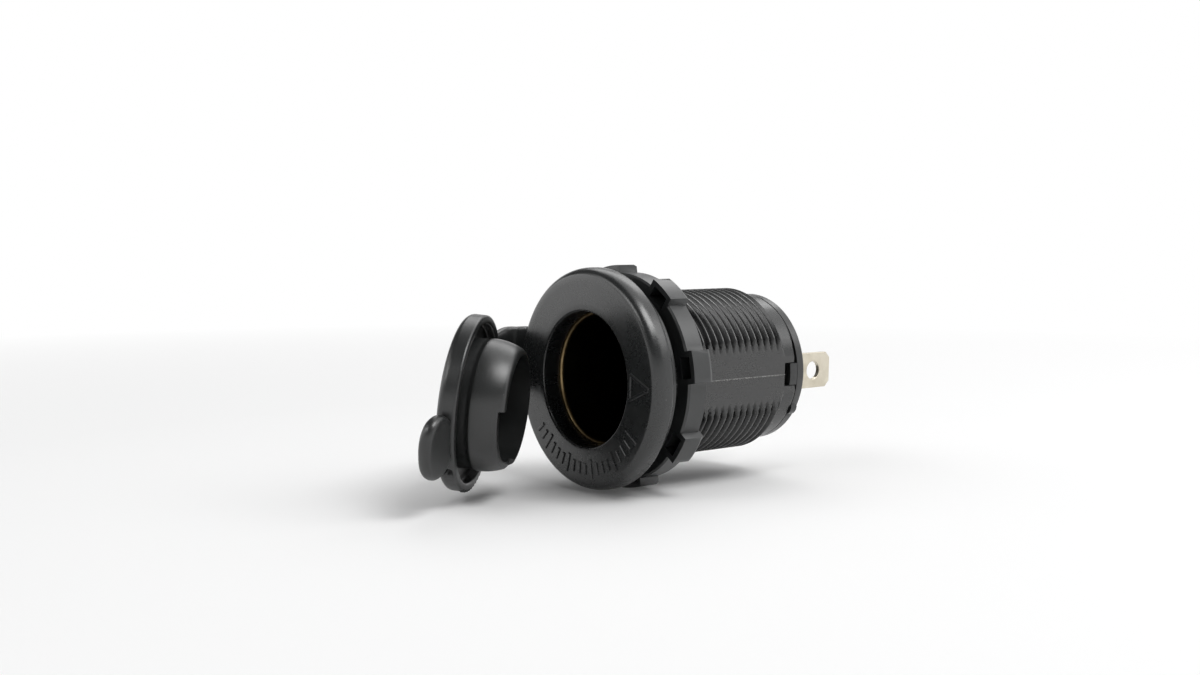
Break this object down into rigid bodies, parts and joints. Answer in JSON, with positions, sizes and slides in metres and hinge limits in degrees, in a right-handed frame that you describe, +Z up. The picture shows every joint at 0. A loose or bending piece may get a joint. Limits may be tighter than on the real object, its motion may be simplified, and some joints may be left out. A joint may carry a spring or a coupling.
{
  "type": "car 12v power socket",
  "caption": "Round panel-mounted 12 volt power socket with a ring nut, spade terminals and a rubber cap on a strap.",
  "frame": {"origin": "on the socket's axis, in the plane of the cap ring's rear face, which lies against the panel's front", "axes": "+Y along the socket's axis, from its mouth to its terminals; +Z up as in the picture; +X towards the ground terminal, away from the cap's strap"},
  "size_m": [0.0412, 0.0821, 0.0376],
  "materials": {
    "housing_plastic": "satin moulded black",
    "cap_rubber": "matt moulded black",
    "shell_brass": "drawn, slightly dull",
    "tinned_brass": "tinned",
    "plated_rivet": "plated",
    "spring_steel": "dull",
    "fibre": "brown insulating fibre"
  },
  "bodies": {
    "socket": {"housing": "housing_plastic", "shell": "shell_brass", "front_insulator": "fibre", "rear_insulator": "fibre", "centre_contact": "tinned_brass", "contact_rivet": "plated_rivet", "lock_washer": "spring_steel", "positive_terminal": "tinned_brass", "ground_terminal": "tinned_brass", "ground_rivet": "plated_rivet", "end_cap": "housing_plastic", "cap_ring": "cap_rubber"},
    "nut": {"ring_nut": "housing_plastic"},
    "cap": {"dust_cap": "cap_rubber"}
  },
  "joints": [
    {"name": "cap_hinge", "type": "hinge", "parent": "socket", "child": "cap", "pos_m": [-0.02135, -0.00805, 0.00097], "axis": [-0.0442, 0.2079, -0.9771], "range_deg": [-49.11, 120], "stiffness_Nm_per_rad": 0.01},
    {"name": "ring_nut_travel", "type": "slide", "parent": "socket", "child": "nut", "axis": [0, 1, 0], "range_m": [-0.0015, 0.0225]}
  ]
}
